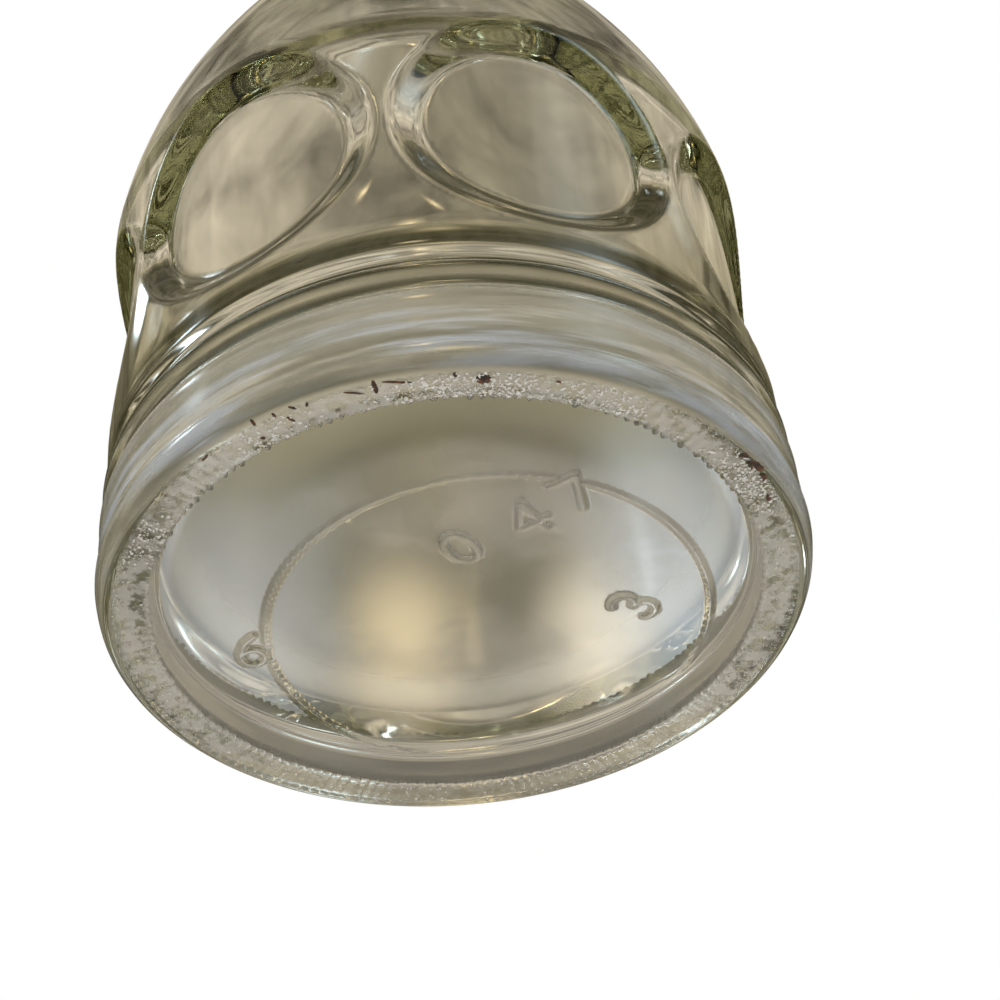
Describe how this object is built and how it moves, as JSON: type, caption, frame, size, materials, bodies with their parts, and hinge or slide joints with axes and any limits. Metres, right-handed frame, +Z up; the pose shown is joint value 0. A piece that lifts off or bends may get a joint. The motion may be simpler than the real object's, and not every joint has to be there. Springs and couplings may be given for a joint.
{
  "type": "glass decanter",
  "caption": "Round glass decanter with a heavy pushed-up base, a row of round thumbprints, a long shoulder, a neck with a rolled lip and a lift-out glass stopper.",
  "frame": {"origin": "centre of the bearing ring, on the surface the decanter stands on", "axes": "+Z up along the decanter's axis, towards the stopper; the first thumbprint is turned 20.4 degrees from -Y towards +X"},
  "size_m": [0.0924, 0.0924, 0.2394],
  "materials": {
    "decanter_glass": "clear moulded glass with a faint olive tint and a scuffed bearing ring",
    "stopper_glass": "clear moulded glass",
    "sleeve_plastic": "soft translucent white plastic"
  },
  "bodies": {
    "decanter": {"glass_body": "decanter_glass"},
    "stopper": {"glass_stopper": "stopper_glass", "sealing_sleeve": "sleeve_plastic"}
  },
  "joints": [
    {"name": "stopper_lift", "type": "slide", "parent": "decanter", "child": "stopper", "axis": [0, 0, 1], "range_m": [0, 0.045]}
  ]
}
